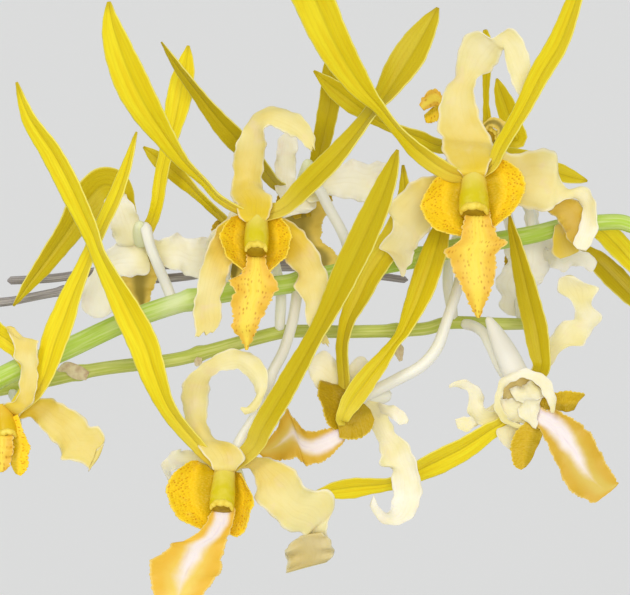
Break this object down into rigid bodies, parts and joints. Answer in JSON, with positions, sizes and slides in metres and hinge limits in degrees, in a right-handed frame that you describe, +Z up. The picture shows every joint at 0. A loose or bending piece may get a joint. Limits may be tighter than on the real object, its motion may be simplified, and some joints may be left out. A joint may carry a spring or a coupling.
{
  "type": "potted dendrobium orchid",
  "caption": "Potted dendrobium orchid: leafy canes in a clay pot of bark, with arching stalks of blooms that have upright twisted golden petals, cream sepals and orange lips.",
  "frame": {"origin": "centre of the pot's flat bottom, on the surface that it stands on", "axes": "+Z up, +X towards the flower spray, -Y towards the front, where the blooms face"},
  "size_m": [0.3111, 0.2419, 0.4615],
  "materials": {
    "clay": "matte",
    "bark": "matte",
    "leaf": "satin",
    "stalk": "satin",
    "old_stalk": "matte",
    "petal": "satin",
    "sepal": "satin",
    "lip": "satin"
  },
  "bodies": {
    "root": {"pot": "clay", "bark_mix": "bark", "leafy_cane_1": "leaf", "leafy_cane_2": "leaf", "leafy_cane_3": "leaf", "leafy_cane_4": "leaf", "leafy_cane_5": "leaf", "front_flower_stalk": "stalk", "back_flower_stalk": "stalk", "old_stalk_long": "old_stalk", "old_stalk_short": "old_stalk", "bloom_c_sepals": "sepal", "bloom_c_petals": "petal", "bloom_c_lip": "lip", "bloom_d_sepals": "sepal", "bloom_d_petals": "petal", "bloom_d_lip": "lip", "bloom_e_sepals": "sepal", "bloom_e_petals": "petal", "bloom_e_lip": "lip", "bloom_a_sepals": "sepal", "bloom_a_petals": "petal", "bloom_a_lip": "lip", "bloom_b_sepals": "sepal", "bloom_b_petals": "petal", "bloom_b_lip": "lip", "bloom_f_sepals": "sepal", "bloom_f_petals": "petal", "bloom_f_lip": "lip", "bloom_g_sepals": "sepal", "bloom_g_petals": "petal", "bloom_g_lip": "lip", "bloom_h_sepals": "sepal", "bloom_h_petals": "petal", "bloom_h_lip": "lip", "bloom_i_sepals": "sepal", "bloom_i_petals": "petal", "bloom_i_lip": "lip", "bloom_j_sepals": "sepal", "bloom_j_petals": "petal", "bloom_j_lip": "lip", "bloom_k_sepals": "sepal", "bloom_k_petals": "petal", "bloom_k_lip": "lip", "bloom_m_sepals": "sepal", "bloom_m_petals": "petal", "bloom_m_lip": "lip", "bud_1": "stalk", "bud_2": "stalk", "bud_3": "stalk"}
  },
  "joints": []
}
